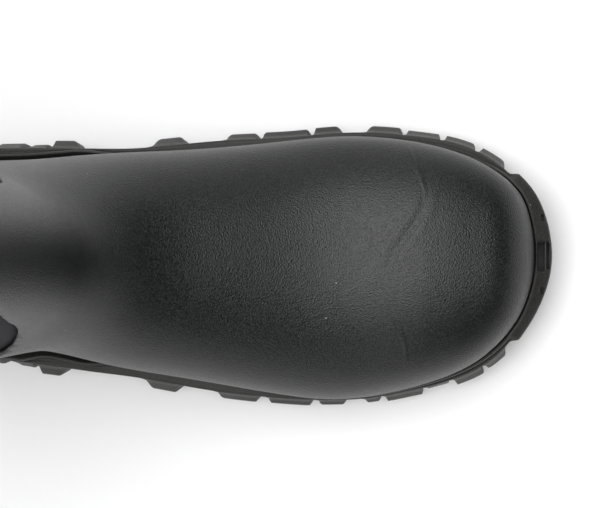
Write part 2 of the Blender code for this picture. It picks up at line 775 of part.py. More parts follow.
def main():
    clear_scene()
    boot = collection("rubber_boot")
    cutters = collection("cutters")
    make_outsole(boot, cutters)
    make_insole(boot)
    make_bootie(boot)
    make_upper(boot, cutters)


main()
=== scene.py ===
"""A right rubber boot, dressed for a studio photograph taken from above its toe."""

import bmesh
import bpy
import numpy as np
from mathutils import Matrix, Vector


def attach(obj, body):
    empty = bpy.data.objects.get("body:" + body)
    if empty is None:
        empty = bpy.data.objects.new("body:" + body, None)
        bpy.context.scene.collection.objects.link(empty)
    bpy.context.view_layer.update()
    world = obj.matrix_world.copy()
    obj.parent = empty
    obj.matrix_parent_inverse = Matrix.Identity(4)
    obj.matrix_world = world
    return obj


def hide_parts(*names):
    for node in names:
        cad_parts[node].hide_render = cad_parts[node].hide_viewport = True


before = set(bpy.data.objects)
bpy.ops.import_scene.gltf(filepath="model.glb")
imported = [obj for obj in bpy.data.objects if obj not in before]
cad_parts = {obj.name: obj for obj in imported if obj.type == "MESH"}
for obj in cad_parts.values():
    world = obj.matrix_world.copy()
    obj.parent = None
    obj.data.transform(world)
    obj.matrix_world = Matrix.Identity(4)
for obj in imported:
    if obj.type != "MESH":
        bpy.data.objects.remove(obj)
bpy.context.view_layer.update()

# The last, measured on the outside of the rubber upper
LAST_LENGTH = 0.3086  # heel to toe along the feather line, where upper and sole meet
BALL_WIDTH = 0.105  # across the ball along the feather line
HEEL_SEAT = 0.037  # from the back of the feather line to the middle of the heel
HEEL_HEIGHT = 0.030  # footbed above the floor at the heel
INSTEP_HEIGHT = 0.092  # top of the instep above the footbed
TOE_ROUNDING = 0.036  # length over which the toe box falls to the feather line
HEEL_ROUNDING = 0.040  # the same for the heel
SIDE_BULGE = 0.003  # how far the widest line of the forefoot overhangs the feather line
WIDEST_LINE = 0.30  # height of that line, as a share of the section's height
END_FULLNESS = 2.4  # roundness of toe and heel seen from the side: 2 is an ellipse
FORM_SCALE = 0.4  # share of the ball width that turns a section's size into a distance

# The shaft
SHAFT_HEIGHT = 0.290  # collar above the floor
SHAFT_DEPTH = 0.1415  # front to back at the collar
SHAFT_WIDTH = 0.092  # side to side at the collar
SHAFT_FULLNESS = 2.08  # roundness of the shaft seen from above
ANKLE_BLEND = 0.024  # softness of the bend where foot and shaft run together

# Walls and clearances
UPPER_WALL = 0.0022
BOOTIE_WALL = 0.0035
INSOLE_THICKNESS = 0.004
FIT_GAP = 0.0003  # between pieces that lie on each other
INSOLE_GAP = 0.0020  # around the insole's edge
HEM_HEIGHT = 0.014  # folded hem at the bootie's collar
HEM_STEP = 0.0009  # how far the hem stands proud of the bootie

# The outsole, its offsets measured outwards from the feather line
LIP_HEIGHT = 0.0060  # raised rim around the upper
LIP_THICKNESS = 0.0016  # of the rim, but for the toe
LIP_GAP = 0.0013  # between the rim's top and the upper round the heel
LIP_ROUNDING = 0.0007
LIP_FLARE = 0.0002  # how far the rim's foot stands out from its edge
BAND_REACH = 0.0054  # smooth band that stands out below the rim
BAND_STEP = 0.0022  # height of the band above the footbed
BAND_WIDTH = 0.0010  # least width of the band outside the rim
BAND_ROUNDING = 0.0008
LUG_REACH = 0.0024  # how far a side lug stands out from the band
LUG_SHOULDER = 0.0035  # where a side lug starts to stand out, below the footbed
LUG_INSET = 0.020  # how far a side lug's foot runs in under the sole
LUG_BEVEL = 0.0012
LUG_DRAFT = 0.0018  # how far a side lug falls back towards the tread
GROOVE_DRAFT = 0.0032  # the same, for the wall between lugs
TREAD_EDGE = 0.0010  # height of the bevel along the tread
TREAD_DEPTH = 0.005
TOE_SPRING = 0.014
WAIST_LIFT = 0.008
HEEL_BEVEL = 0.002
CENTRE_LUG_LENGTH = 0.010  # along the foot
CENTRE_LUG_ROOT = 0.001  # how far a centre lug is sunk into the sole

# Sections of the foot. along: share of the last's length from the back. medial, lateral
# and crest: shares of the ball width. footbed: share of the heel height. ridge: share of
# the instep height. bulge: share of the side bulge. fullness: 2 is an ellipse.
FOOT_COLUMNS = ("along", "medial", "lateral", "footbed", "ridge", "crest", "bulge", "fullness")
FOOT = (
    (0.000, 0.000, 0.000, 1.00, 0.78, 0.00, 0.0, 2.4),
    (0.049, 0.245, 0.245, 1.00, 0.80, 0.00, -0.5, 2.4),
    (0.122, 0.338, 0.335, 1.00, 0.83, 0.00, -0.8, 2.4),
    (0.260, 0.358, 0.345, 1.00, 0.94, 0.00, -0.8, 2.1),
    (0.345, 0.372, 0.386, 0.96, 0.99, 0.01, -0.5, 1.9),
    (0.410, 0.381, 0.432, 0.87, 0.98, 0.02, 0.1, 2.0),
    (0.545, 0.377, 0.486, 0.72, 0.84, 0.04, 0.9, 2.2),
    (0.690, 0.413, 0.554, 0.60, 0.66, 0.06, 1.0, 2.3),
    (0.770, 0.421, 0.549, 0.63, 0.59, 0.06, 1.0, 2.5),
    (0.862, 0.392, 0.488, 0.77, 0.53, 0.05, 0.8, 2.6),
    (0.931, 0.332, 0.396, 0.92, 0.45, 0.03, 0.5, 2.6),
    (0.972, 0.256, 0.278, 1.03, 0.43, 0.01, 0.2, 2.6),
    (0.990, 0.168, 0.172, 1.06, 0.42, 0.00, 0.1, 2.6),
    (1.000, -0.015, 0.015, 1.08, 0.42, 0.00, 0.0, 2.6),
)

# Sections of the shaft. height: share of the shaft height. front and back: shares of the
# shaft depth, from the middle of the heel. half: share of the shaft width. lean: the same,
# towards the medial side.
SHAFT_COLUMNS = ("height", "front", "back", "half", "lean")
SHAFT = (
    (0.138, 0.551, 0.170, 0.290, -0.010),
    (0.276, 0.680, 0.195, 0.355, -0.030),
    (0.379, 0.745, 0.185, 0.418, -0.058),
    (0.483, 0.757, 0.172, 0.414, -0.050),
    (0.586, 0.750, 0.172, 0.416, -0.034),
    (0.724, 0.746, 0.190, 0.440, -0.025),
    (0.862, 0.753, 0.215, 0.472, -0.020),
    (1.000, 0.763, 0.237, 0.500, -0.020),
)

# The cuts that the upper is lofted through. They fan out from the toe, round the heel and
# up the back. way: 0 at the toe, 1 at the back of the heel, 2 at the collar. tilt: degrees
# of the cut above the floor. centre: distance in from its foot, as a share of the last.
FAN = (
    (0.00, 13.0, 0.030),
    (0.04, 45.0, 0.060),
    (0.14, 63.0, 0.085),
    (0.34, 76.0, 0.095),
    (0.48, 68.0, 0.115),
    (0.62, 54.0, 0.170),
    (0.78, 42.0, 0.220),
    (1.00, 35.5, 0.250),
    (1.25, 28.0, 0.240),
    (1.50, 18.0, 0.225),
    (1.75, 8.0, 0.225),
    (2.00, 0.0, 0.235),
)
FAN_START = 0.930  # where the first cut meets the feather line, as a share of the last
HALVINGS = 26  # steps of the search for the place where a ray leaves the form
CUT_LEAN_HEIGHT = 0.5  # the cuts lean as the shaft does at this share of its height

# The upper's top edge seen from the side, from its front tongue to the heel's. forward:
# share of the shaft depth from the middle of the heel. height: share of the shaft height.
TOP_EDGE = (
    (0.735, 0.805),
    (0.712, 0.793),
    (0.697, 0.765),
    (0.682, 0.724),
    (0.653, 0.650),
    (0.627, 0.575),
    (0.585, 0.515),
    (0.519, 0.458),
    (0.400, 0.405),
    (0.280, 0.390),
    (0.120, 0.390),
    (0.000, 0.412),
    (-0.080, 0.465),
    (-0.120, 0.540),
    (-0.140, 0.620),
    (-0.150, 0.690),
    (-0.166, 0.722),
)
TOP_EDGE_SLANT = 0.11  # how far the edge lies back on the medial side, per unit of width
TOP_EDGE_STEPS = 10  # steps from one row of the table to the next

# Side lugs. Each row gives a lug's start, end and reach on the medial side, then on the
# lateral side. Start and end are shares of the way from the toe's tip to the heel's back,
# and reach is a share of the lug reach. The first lug lies under the toe bumper.
SIDE_LUGS = (
    (0.030, 0.090, 1.0, 0.030, 0.092, 1.0),
    (0.108, 0.144, 1.1, 0.109, 0.140, 1.0),
    (0.149, 0.186, 1.1, 0.144, 0.179, 1.3),
    (0.191, 0.232, 1.1, 0.184, 0.213, 0.7),
    (0.237, 0.281, 1.4, 0.217, 0.263, 1.25),
    (0.306, 0.342, 1.5, 0.268, 0.289, 1.0),
    (0.347, 0.405, 1.4, 0.306, 0.341, 1.1),
    (0.411, 0.454, 1.3, 0.348, 0.401, 1.3),
    (0.503, 0.547, 1.7, 0.411, 0.465, 1.4),
    (0.632, 0.666, 1.6, 0.508, 0.554, 1.9),
    (0.671, 0.696, 0.9, 0.646, 0.682, 2.0),
    (0.704, 0.741, 1.2, 0.688, 0.718, 1.1),
    (0.746, 0.790, 1.3, 0.732, 0.782, 1.2),
    (0.795, 0.842, 1.2, 0.790, 0.840, 1.2),
    (0.850, 0.904, 1.2, 0.848, 0.904, 1.2),
)
TOE_LUG_END = 0.018  # where the lug across the toe's tip ends
HEEL_LUG_START = 0.913  # where the lug across the heel's back starts
BUMPER = (0.092, 0.102)  # the smooth toe bumper runs out between these shares
WAIST_START = (0.275, 0.315)  # the tread lifts off the floor, as shares of the last
WAIST_END = (0.400, 0.440)  # and comes down to it again
TOE_SPRING_START = 0.775  # the toe lifts off the floor ahead of this share
HEEL_BEVEL_END = 0.035  # the heel's bevel ends at this share

# Centre lugs. along: share of the last. span: length across, as a share of the ball width.
# sweep: how far its ends lie behind its middle, in lug lengths.
CENTRE_LUGS = (
    (0.090, 0.300, 0.0),
    (0.122, 0.340, 0.0),
    (0.170, 0.330, -0.6),
    (0.218, 0.330, -0.6),
    (0.470, 0.320, 0.8),
    (0.525, 0.350, 0.8),
    (0.580, 0.390, 0.8),
    (0.635, 0.430, 0.8),
    (0.690, 0.430, 0.8),
    (0.745, 0.420, 0.8),
)

# The band's reach. along: share of the last. medial, lateral: shares of the band's reach.
BAND_COLUMNS = ("along", "medial", "lateral")
BAND = (
    (0.00, 1.10, 1.10),
    (0.15, 1.30, 1.45),
    (0.30, 1.35, 2.05),
    (0.42, 0.95, 1.40),
    (0.55, 1.60, 1.60),
    (0.66, 1.40, 1.17),
    (0.76, 1.40, 0.80),
    (0.84, 1.35, 0.88),
    (0.90, 1.28, 0.92),
    (0.95, 0.82, 0.78),
    (0.98, 0.62, 0.62),
    (1.00, 0.86, 0.86),
)


def cubic_through(places, values, closed=False):
    """Second slopes of the smooth cubic curve through the values, one row each."""
    places = np.asarray(places, float)
    values = np.asarray(values, float).reshape(len(places), -1)
    count = len(places)
    steps = np.diff(places)
    slopes = np.diff(values, axis=0) / steps[:, None]
    matrix = np.eye(count)
    right = np.zeros_like(values)
    for i in range(1, count - 1):
        matrix[i, i - 1 : i + 2] = steps[i - 1], 2 * (steps[i - 1] + steps[i]), steps[i]
        right[i] = 6 * (slopes[i] - slopes[i - 1])
    if closed:
        matrix[0, [0, 1, -2]] = 2 * (steps[0] + steps[-1]), steps[0], steps[-1]
        right[0] = 6 * (slopes[0] - slopes[-1])
        matrix[-1, [0, -1]] = -1, 1
    return np.linalg.solve(matrix, right)


def curve(places, values, closed=False):
    """A function that reads the smooth cubic curve through the values."""
    places = np.asarray(places, float)
    values = np.asarray(values, float).reshape(len(places), -1)
    seconds = cubic_through(places, values, closed)

    def read(at):
        at = np.clip(np.asarray(at, float), places[0], places[-1])
        i = np.clip(np.searchsorted(places, at) - 1, 0, len(places) - 2)
        step = (places[i + 1] - places[i])[..., None]
        b = (at[..., None] - places[i][..., None]) / step
        a = 1 - b
        bend = (a**3 - a) * seconds[i] + (b**3 - b) * seconds[i + 1]
        found = a * values[i] + b * values[i + 1] + bend * step**2 / 6
        return found[..., 0] if found.shape[-1] == 1 else found

    return read


def table(columns, rows):
    """The columns of a table after its first, each as a smooth function of the first."""
    numbers = np.array(rows, float)
    return {c: curve(numbers[:, 0], numbers[:, i]) for i, c in enumerate(columns) if i}


foot = table(FOOT_COLUMNS, FOOT)
shaft = table(SHAFT_COLUMNS, SHAFT)
band_shape = table(BAND_COLUMNS, BAND)


def along(x):
    """Share of the last's length at x."""
    return np.clip((np.asarray(x) + HEEL_SEAT) / LAST_LENGTH, 0, 1)


def footbed(x):
    return HEEL_HEIGHT * foot["footbed"](along(x))


# The feather line, where the upper meets the sole

EDGE_POINTS = 400  # points along either side of the feather line


def feather_sides():
    """Dense points of the feather line's medial and lateral side, each from toe to heel."""
    rows = np.array(FOOT)[::-1]
    x = rows[:, 0] * LAST_LENGTH - HEEL_SEAT
    medial = np.column_stack([x, rows[:, 1] * BALL_WIDTH])
    lateral = np.column_stack([x, -rows[:, 2] * BALL_WIDTH])
    loop = np.vstack([medial, lateral[-2:0:-1], medial[:1]])
    chords = np.linalg.norm(np.diff(loop, axis=0), axis=1)
    places = np.concatenate([[0], np.cumsum(np.sqrt(chords))])
    read = curve(places, loop, closed=True)
    heel = places[len(rows) - 1]
    to_heel = np.linspace(0, heel, EDGE_POINTS)
    to_toe = np.linspace(heel, places[-1], EDGE_POINTS)
    return read(to_heel), read(to_toe)[::-1]


MEDIAL_EDGE, LATERAL_EDGE = feather_sides()


def side_point(edge, share, outward):
    """Points at a share of the way from toe to heel along one side, and their normals."""
    lengths = np.linalg.norm(np.diff(edge, axis=0), axis=1)
    way = np.concatenate([[0], np.cumsum(lengths)])
    at = np.asarray(share) * way[-1]
    tangents = np.gradient(edge, axis=0)
    point = np.column_stack([np.interp(at, way, edge[:, i]) for i in (0, 1)])
    run = np.column_stack([np.interp(at, way, tangents[:, i]) for i in (0, 1)])
    run /= np.linalg.norm(run, axis=1)[:, None]
    return point, outward * np.column_stack([run[:, 1], -run[:, 0]])


def half_width(edge, x):
    """Distance of one side of the feather line from the middle plane at x."""
    return np.interp(x, edge[::-1, 0], edge[::-1, 1])


# The form of foot and shaft, as a signed distance: below zero inside

LEAST_SIZE = 1e-4  # least height and half width of a section, where the foot ends


def ends(share):
    """Falls from 1 to 0 over the rounding of the toe and of the heel."""
    toe = np.clip((share - 1) * LAST_LENGTH / TOE_ROUNDING + 1, 0, 1)
    heel = np.clip(1 - share * LAST_LENGTH / HEEL_ROUNDING, 0, 1)
    return (1 - np.maximum(toe, heel) ** END_FULLNESS) ** (1 / END_FULLNESS)


def foot_form(x, y, z):
    """Signed distance from the foot, whose section changes along the last."""
    share = along(x)
    medial = half_width(MEDIAL_EDGE, x)
    lateral = -half_width(LATERAL_EDGE, x)
    height = np.maximum(INSTEP_HEIGHT * foot["ridge"](share) * ends(share), LEAST_SIZE)
    above = z - footbed(x)
    widest = WIDEST_LINE * height
    up = np.clip((above - widest) / (height - widest), 0, None)
    below = np.clip((widest - above) / widest, 0, 1)
    bulge = SIDE_BULGE * foot["bulge"](share) * (1 - below**2)
    half = np.maximum((medial + lateral) / 2 + bulge, LEAST_SIZE)
    middle = (medial - lateral) / 2 + BALL_WIDTH * foot["crest"](share) * np.minimum(up, 1)
    fullness = foot["fullness"](share)
    spread = np.abs(y - middle) / half
    size = (spread**fullness + up**fullness) ** (1 / fullness)
    past_end = np.abs(x + HEEL_SEAT - LAST_LENGTH / 2) - LAST_LENGTH / 2
    inside = (size - 1) * BALL_WIDTH * FORM_SCALE
    return np.where(past_end > 0, np.abs(inside) + past_end, inside)


def shaft_form(x, y, z):
    """Signed distance from the shaft, whose section changes with height."""
    height = z / SHAFT_HEIGHT
    front = SHAFT_DEPTH * shaft["front"](height)
    back = SHAFT_DEPTH * shaft["back"](height)
    middle = (front - back) / 2
    half = SHAFT_WIDTH * shaft["half"](height)
    lean = SHAFT_WIDTH * shaft["lean"](height)
    deep = np.abs(x - middle) / (front - middle)
    wide = np.abs(y - lean) / half
    size = (deep**SHAFT_FULLNESS + wide**SHAFT_FULLNESS) ** (1 / SHAFT_FULLNESS)
    return (size - 1) * half


def form(points):
    """Signed distance, near enough, from the outside of the upper."""
    x, y, z = np.moveaxis(points, -1, 0)
    first = foot_form(x, y, z)
    second = shaft_form(x, y, z)
    near = np.clip(1 - np.abs(first - second) / ANKLE_BLEND, 0, 1)
    return np.minimum(first, second) - near**2 * ANKLE_BLEND / 4


def outward(points):
    """Unit normals of the form."""
    step = 2e-4
    axes = np.eye(3) * step
    slope = np.stack([form(points + a) - form(points - a) for a in axes], axis=-1)
    return slope / np.linalg.norm(slope, axis=-1, keepdims=True)


# The cuts through the form


def cut_foot(way):
    """Where the cut starts: on the footbed up to way 1, then up the back."""
    toe_x = FAN_START * LAST_LENGTH - HEEL_SEAT
    x = toe_x + (-HEEL_SEAT - toe_x) * min(way, 1)
    if way <= 1:
        return np.array([x, 0, footbed(x)])
    low = float(footbed(-HEEL_SEAT))
    z = low + (SHAFT_HEIGHT - low) * (way - 1)
    return np.array([-SHAFT_DEPTH * float(shaft["back"](z / SHAFT_HEIGHT)), 0, z])


def march(centre, rays):
    """Where each ray from the centre leaves the form."""
    near = np.zeros(len(rays))
    far = np.full(len(rays), LAST_LENGTH)
    for _ in range(HALVINGS):
        middle = (near + far) / 2
        inside = form(centre + rays * middle[:, None]) < 0
        near = np.where(inside, middle, near)
        far = np.where(inside, far, middle)
    return centre + rays * near[:, None]


def even(points, count):
    """The polyline with that many points, evenly spaced."""
    way = np.concatenate([[0], np.cumsum(np.linalg.norm(np.diff(points, axis=0), axis=1))])
    at = np.linspace(0, way[-1], count)
    return np.column_stack([np.interp(at, way, points[:, i]) for i in range(3)])


def cut(way, count):
    """One cut from its medial foot over the ridge to its lateral foot."""
    fan = np.array(FAN)
    tilt = np.radians(np.interp(way, fan[:, 0], fan[:, 1]))
    inward = np.interp(way, fan[:, 0], fan[:, 2]) * LAST_LENGTH
    lean = SHAFT_WIDTH * float(shaft["lean"](CUT_LEAN_HEIGHT)) * np.clip(way, 0, 1)
    up = np.array([np.cos(tilt), 0, np.sin(tilt)])
    start = cut_foot(way)
    centre = start + up * inward
    feet = []
    if way < 1:
        widths = [half_width(edge, start[0]) for edge in (MEDIAL_EDGE, LATERAL_EDGE)]
        centre[1] = sum(widths) / 2
        feet = [np.array([start[0], w, start[2]]) for w in widths]
        turns = [np.arctan2(w - centre[1], -inward) for w in widths]
    else:
        centre[1] = lean
        turns = [np.pi, -np.pi]
    angles = np.linspace(turns[0], turns[1], 2 * count)
    rays = np.cos(angles)[:, None] * up + np.sin(angles)[:, None] * np.array([0, 1, 0])
    points = march(centre, rays)
    if feet:
        points[0], points[-1] = feet
    return even(points, count)


# The camera, above the toe. Places are in metres.

EYE = Vector((0.2814, -0.0020, 0.7585))
AIM = Vector((0.17257, -0.0006, 0.030))
ROLL = np.radians(0.153)
SENSOR_WIDTH = 36  # in millimetres
FOCAL_SHARE = 1732.5 / 600  # focal length over the image's width

# The dense grids of the dressed boot

FOOT_CUTS = 170  # cuts from the toe to the heel
SHAFT_CUTS = 44  # cuts from the heel up the back to the hem
HEM_CUTS = 6  # cuts from the hem's step to the collar
CUT_POINTS = 200  # points on each cut
CREASE_WAYS = (0.09, 0.20)  # the cuts between these ways cross the toe crease
CREASE_CROWDING = 6.0  # how much denser they lie than plain cuts
CREASE_FADE = 0.04  # the crowding fades over this much of the way
END_CROWDING = 1.2  # how much denser cuts lie at the toe's tip and the heel's back
TOE_FADE = 0.04
HEEL_FADE = 0.05
WAY_SAMPLES = 2001  # samples of the cuts' density
SIDE_STATIONS = 420  # points along each side of the sole


def ways():
    """The places of the cuts: crowded at the toe crease, with a few at the hem's step."""
    hem = 2 - HEM_HEIGHT / (SHAFT_HEIGHT - HEEL_HEIGHT)
    step = HEM_STEP / 2 / SHAFT_HEIGHT
    fine = np.linspace(0, 1, WAY_SAMPLES)
    start, end = CREASE_WAYS
    rises = smooth_step(fine, start - CREASE_FADE, start)
    falls = 1 - smooth_step(fine, end, end + CREASE_FADE)
    at_heel = END_CROWDING * np.exp(-(((1 - fine) / HEEL_FADE) ** 2))
    at_toe = END_CROWDING * np.exp(-((fine / TOE_FADE) ** 2))
    density = 1 + CREASE_CROWDING * (rises * falls) + (at_heel + at_toe)
    total = np.concatenate([[0], np.cumsum((density[1:] + density[:-1]) / 2)])
    toe_to_heel = np.interp(np.linspace(0, total[-1], FOOT_CUTS), total, fine)
    up_back = np.linspace(1, hem - step, SHAFT_CUTS)[1:]
    to_collar = np.linspace(hem + step, 2, HEM_CUTS)
    return np.concatenate([toe_to_heel, up_back, to_collar])


def smooth_step(value, low, high):
    share = np.clip((value - low) / (high - low), 0, 1)
    return share * share * (3 - 2 * share)


WAYS = ways()
CUTS = np.array([cut(way, CUT_POINTS) for way in WAYS])
NORMALS = outward(CUTS)
NORMALS[WAYS <= 1, 0, 2] = 0
NORMALS[WAYS <= 1, -1, 2] = 0
NORMALS[0, :, 2] = 0
NORMALS[-1, :, 2] = 0
NORMALS /= np.linalg.norm(NORMALS, axis=-1, keepdims=True)


def skin(depth):
    """The grid moved inwards by a depth, which may differ from point to point."""
    depth = np.broadcast_to(depth, CUTS.shape[:2])[..., None]
    points = CUTS - NORMALS * depth
    on_footbed = np.zeros(points.shape[:2], bool)
    on_footbed[0] = True
    on_footbed[WAYS <= 1, 0] = True
    on_footbed[WAYS <= 1, -1] = True
    points[..., 2] = np.where(on_footbed, footbed(points[..., 0]) + FIT_GAP, points[..., 2])
    seam = (points[WAYS >= 1, 0] + points[WAYS >= 1, -1]) / 2
    points[WAYS >= 1, 0] = seam
    points[WAYS >= 1, -1] = seam
    return points


# Making pieces

WELD = 1e-6  # points nearer than this become one


def mesh_piece(name, points, faces, smooth_angle=40):
    """An object from points and faces, welded, its faces turned outwards."""
    mesh = bpy.data.meshes.new(name)
    mesh.from_pydata([tuple(p) for p in points], [], [tuple(map(int, f)) for f in faces])
    work = bmesh.new()
    work.from_mesh(mesh)
    bmesh.ops.remove_doubles(work, verts=work.verts, dist=WELD)
    bmesh.ops.recalc_face_normals(work, faces=work.faces)
    work.to_mesh(mesh)
    work.free()
    mesh.shade_smooth()
    mesh.set_sharp_from_angle(angle=np.radians(smooth_angle))
    made = bpy.data.objects.new(name, mesh)
    bpy.context.scene.collection.objects.link(made)
    return made


def dress(piece, node, finish):
    """The piece stands for a node of the frame and takes its slot and finish."""
    piece.data.materials.clear()
    piece.data.materials.append(finish)
    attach(piece, "root")
    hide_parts(node)


def grid_faces(rows, columns):
    """Quads of a grid of points."""
    number = np.arange(rows * columns).reshape(rows, columns)
    corners = number[:-1, :-1], number[:-1, 1:], number[1:, 1:], number[1:, :-1]
    return np.stack([c.ravel() for c in corners], axis=1)


def rim_edges(points, faces):
    """Edges that only one face has, seeing points at one place as one."""
    _, same = np.unique(np.round(points, 7), axis=0, return_inverse=True)
    same = same.ravel()
    used = {}
    for face in faces:
        for a, b in zip(face, np.roll(face, -1)):
            key = frozenset((same[a], same[b]))
            used.setdefault(key, []).append((a, b))
    return [pairs[0] for key, pairs in used.items() if len(pairs) == 1 and len(key) == 2]


def walled(name, outer, inner):
    """A closed solid between two skins of the same grid."""
    rows, columns = outer.shape[:2]
    skin_points = outer.reshape(-1, 3)
    faces = grid_faces(rows, columns)
    other = len(skin_points)
    rim = [(b, a, a + other, b + other) for a, b in rim_edges(skin_points, faces)]
    inside = faces[:, ::-1] + other
    points = np.vstack([skin_points, inner.reshape(-1, 3)])
    return mesh_piece(name, points, [*faces, *inside, *rim])


def prism(name, outline, low, high, axis, slant=0.0):
    """A flat outline pushed through from low to high along one axis, and aslant."""
    count = len(outline)
    sheets = []
    for level in (low, high):
        shifted = np.asarray(outline, float) - (slant * level, 0)
        sheets.append(np.insert(shifted, axis, level, axis=1))
    faces = [(i, (i + 1) % count, (i + 1) % count + count, i + count) for i in range(count)]
    faces.append(tuple(range(count)))
    faces.append(tuple(range(count, 2 * count)))
    return mesh_piece(name, np.vstack(sheets), faces)


def boolean(target, other, operation):
    """Applies a Boolean and deletes the cutter."""
    modifier = target.modifiers.new("cut", "BOOLEAN")
    modifier.object = other
    modifier.operation = operation
    graph = bpy.context.evaluated_depsgraph_get()
    mesh = bpy.data.meshes.new_from_object(target.evaluated_get(graph))
    target.modifiers.clear()
    target.data = mesh
    bpy.data.objects.remove(other)


# The upper


def top_edge():
    """The upper's top edge seen from the side, in metres, front to back."""
    rows = np.array(TOP_EDGE) * (SHAFT_DEPTH, SHAFT_HEIGHT)
    last = len(rows) - 1
    read = curve(np.arange(len(rows)), rows)
    return read(np.linspace(0, last, TOP_EDGE_STEPS * last + 1))


def distance_to(points, path):
    """Distance from points to a polyline, and the place along it as a share."""
    shape = points.shape[:-1]
    flat = points.reshape(-1, 2)
    best = np.full(len(flat), np.inf)
    place = np.zeros(len(flat))
    steps = np.diff(path, axis=0)
    lengths = np.linalg.norm(steps, axis=1)
    way = np.concatenate([[0], np.cumsum(lengths)])
    for i, step in enumerate(steps):
        off = flat - path[i]
        t = np.clip(off @ step / lengths[i] ** 2, 0, 1)
        away = np.linalg.norm(off - t[:, None] * step, axis=1)
        nearer = away < best
        best = np.where(nearer, away, best)
        place = np.where(nearer, (way[i] + t * lengths[i]) / way[-1], place)
    return best.reshape(shape), place.reshape(shape)


# The crease across the toe box, seen from above, from its medial to its lateral end. Each
# row gives x and y in metres, and the heights of the ridge and the trough as shares of
# their largest.
TOE_CREASE = (
    (0.2215, 0.0420, 0.6, 0.0),
    (0.2245, 0.0350, 1.0, 0.0),
    (0.2280, 0.0270, 0.7, 0.1),
    (0.2287, 0.0200, 0.1, 0.5),
    (0.2262, 0.0140, 0.0, 1.0),
    (0.2215, 0.0070, 0.0, 1.0),
    (0.2168, 0.0000, 0.0, 0.8),
    (0.2142, -0.0070, 0.0, 0.5),
    (0.2132, -0.0140, 0.1, 0.3),
    (0.2150, -0.0210, 0.3, 0.1),
    (0.2180, -0.0290, 0.8, 0.0),
    (0.2205, -0.0370, 1.0, 0.0),
    (0.2205, -0.0440, 0.6, 0.0),
    (0.2190, -0.0500, 0.1, 0.0),
)
RIDGE_HEIGHT = 0.00040
RIDGE_WIDTH = 0.0007
TROUGH_DEPTH = 0.00036
TROUGH_WIDTH = 0.0016
SWELL_HEIGHT = 0.35  # of the swelling beside the trough, as a share of the trough's depth
SWELL_PLACE = 2.2  # distance from the trough's middle to the swelling, in trough widths
CREASE_POINTS = 120  # points of the line that distances are measured to
CREASE_MIDDLE = 0.220  # x of the crease's middle, in metres
CREASE_SPAN = 0.02  # how far before and behind that it is looked for
CREASE_FLOOR = 0.03  # the crease lies above this height, in metres


def creases(points):
    """Height of the toe crease's ridges and trough at points of the upper's outside."""
    rows = np.array(TOE_CREASE)
    read = curve(np.arange(len(rows)), rows)
    line = read(np.linspace(0, len(rows) - 1, CREASE_POINTS))
    near = np.abs(points[..., 0] - CREASE_MIDDLE) < CREASE_SPAN
    near &= points[..., 2] > CREASE_FLOOR
    away, place = distance_to(points[near][:, :2], line[:, :2])
    at = place * (len(line) - 1)
    ridge = np.interp(at, np.arange(len(line)), line[:, 2])
    trough = np.interp(at, np.arange(len(line)), line[:, 3])
    beside = (away - SWELL_PLACE * TROUGH_WIDTH) / TROUGH_WIDTH
    lift = RIDGE_HEIGHT * ridge * np.exp(-((away / RIDGE_WIDTH) ** 2))
    drop = TROUGH_DEPTH * trough * np.exp(-((away / TROUGH_WIDTH) ** 2))
    swell = SWELL_HEIGHT * TROUGH_DEPTH * trough * np.exp(-(beside**2))
    height = np.zeros(points.shape[:-1])
    height[near] = lift - drop + swell
    return height


EDGE_ROUNDING = 0.0022  # width over which the upper thins towards its top edge
EDGE_THINNING = 0.0011  # how much thinner the upper is at that edge
EDGE_ABOVE = 0.09  # the top edge lies above this height
EDGE_FROM = 0.2  # and on the cuts behind this way
CUTTER_TOP = 1.1  # top of what cuts the upper off, as a share of the shaft height


def make_upper():
    edge = top_edge()
    slanted = CUTS[..., 0] + TOP_EDGE_SLANT * CUTS[..., 1]
    seen = np.stack([slanted, CUTS[..., 2]], axis=-1)
    near = (CUTS[..., 2] > EDGE_ABOVE) & (WAYS > EDGE_FROM)[:, None]
    thin = np.zeros(CUTS.shape[:2])
    away, _ = distance_to(seen[near], edge)
    thin[near] = EDGE_THINNING * np.clip(1 - away / EDGE_ROUNDING, 0, 1) ** 2
    upper = walled("upper_shell", skin(thin - creases(CUTS)), skin(UPPER_WALL))
    top = SHAFT_HEIGHT * CUTTER_TOP
    front = (edge[0, 0] + SHAFT_DEPTH, edge[0, 1])
    back = (edge[-1, 0] - SHAFT_DEPTH, edge[-1, 1])
    outline = [front, *map(tuple, edge), back, (back[0], top), (front[0], top)]
    side = SHAFT_WIDTH
    cutter = prism("above_top_edge", outline, -side, side, 1, TOP_EDGE_SLANT)
    boolean(upper, cutter, "DIFFERENCE")
    return upper


KEPT_CUTS = 8  # cuts at the hem that the bootie keeps, where it skips every second one


def every_second(count, kept):
    """Every second number below a count, and each of the last few."""
    return np.unique([*range(0, count - kept, 2), *range(count - kept, count)])


def make_bootie():
    hem = WAYS > 2 - HEM_HEIGHT / (SHAFT_HEIGHT - HEEL_HEIGHT)
    outside = UPPER_WALL + FIT_GAP
    outer = skin(np.where(hem, outside - HEM_STEP, outside)[:, None])
    inner = skin(outside + BOOTIE_WALL)
    keep = np.ix_(every_second(len(WAYS), KEPT_CUTS), every_second(CUT_POINTS, 1))
    return walled("neoprene_sock", outer[keep], inner[keep])


# The sole

